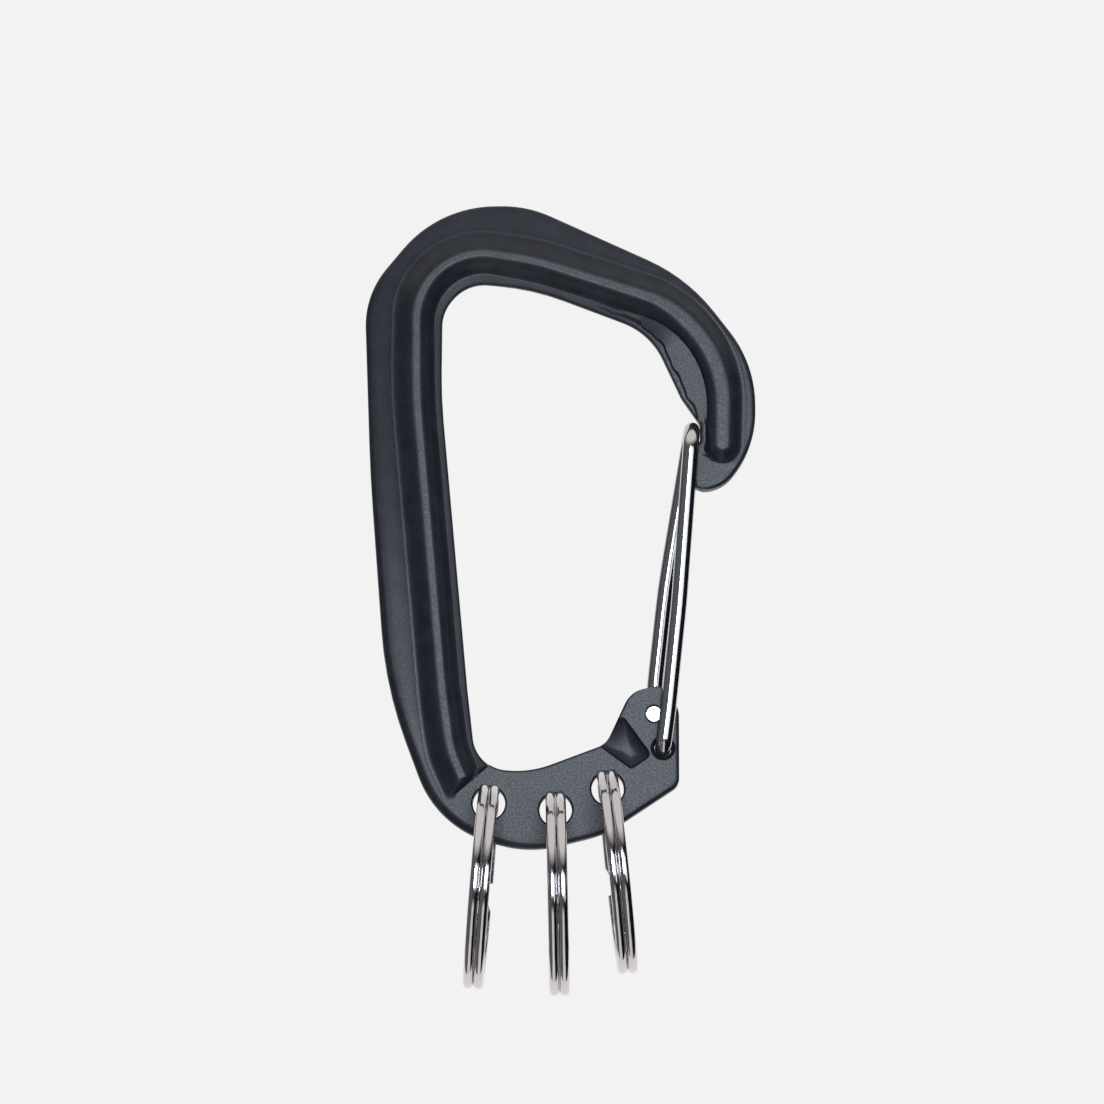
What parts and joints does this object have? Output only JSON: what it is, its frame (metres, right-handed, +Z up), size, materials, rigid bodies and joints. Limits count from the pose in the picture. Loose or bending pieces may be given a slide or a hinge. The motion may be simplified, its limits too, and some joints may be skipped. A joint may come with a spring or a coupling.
{
  "type": "carabiner keyring",
  "caption": "Flat black D-shaped carabiner frame with a sprung wire gate, and split rings hung in holes along its lower edge.",
  "frame": {"origin": "seat under the top bend, where a hook or belt loop carries the frame, in the middle of its thickness", "axes": "+X from the spine to the gate, +Y from the front face to the back face, +Z up from the rings to the top bend"},
  "size_m": [0.0485, 0.025, 0.0984],
  "materials": {
    "black_frame": "satin black coat on forged aluminium",
    "gate_wire": "polished stainless wire",
    "ring_steel": "nickel-plated flat steel wire"
  },
  "bodies": {
    "frame": {"frame": "black_frame", "gate_rear_foot": "gate_wire"},
    "gate": {"wire_gate": "gate_wire"},
    "ring_left": {"split_ring_left": "ring_steel"},
    "ring_middle": {"split_ring_middle": "ring_steel"},
    "ring_right": {"split_ring_right": "ring_steel"}
  },
  "joints": [
    {"name": "gate_swing", "type": "hinge", "parent": "frame", "child": "gate", "pos_m": [0.0216, 0, -0.0579], "axis": [0, -1, 0], "range_deg": [0, 32], "stiffness_Nm_per_rad": 0.08, "springref_deg": -11.46, "deforming": ["gate_rear_foot"]},
    {"name": "ring_left_swing", "type": "hinge", "parent": "frame", "child": "ring_left", "pos_m": [0.0002, 0, -0.0647], "axis": [0, 1, 0], "range_deg": [-8, 80]},
    {"name": "ring_middle_swing", "type": "hinge", "parent": "frame", "child": "ring_middle", "pos_m": [0.0084, 0, -0.0655], "axis": [0, 1, 0], "range_deg": [-8, 8]},
    {"name": "ring_right_swing", "type": "hinge", "parent": "frame", "child": "ring_right", "pos_m": [0.0148, 0, -0.0629], "axis": [0, -1, 0], "range_deg": [-8, 80]}
  ]
}
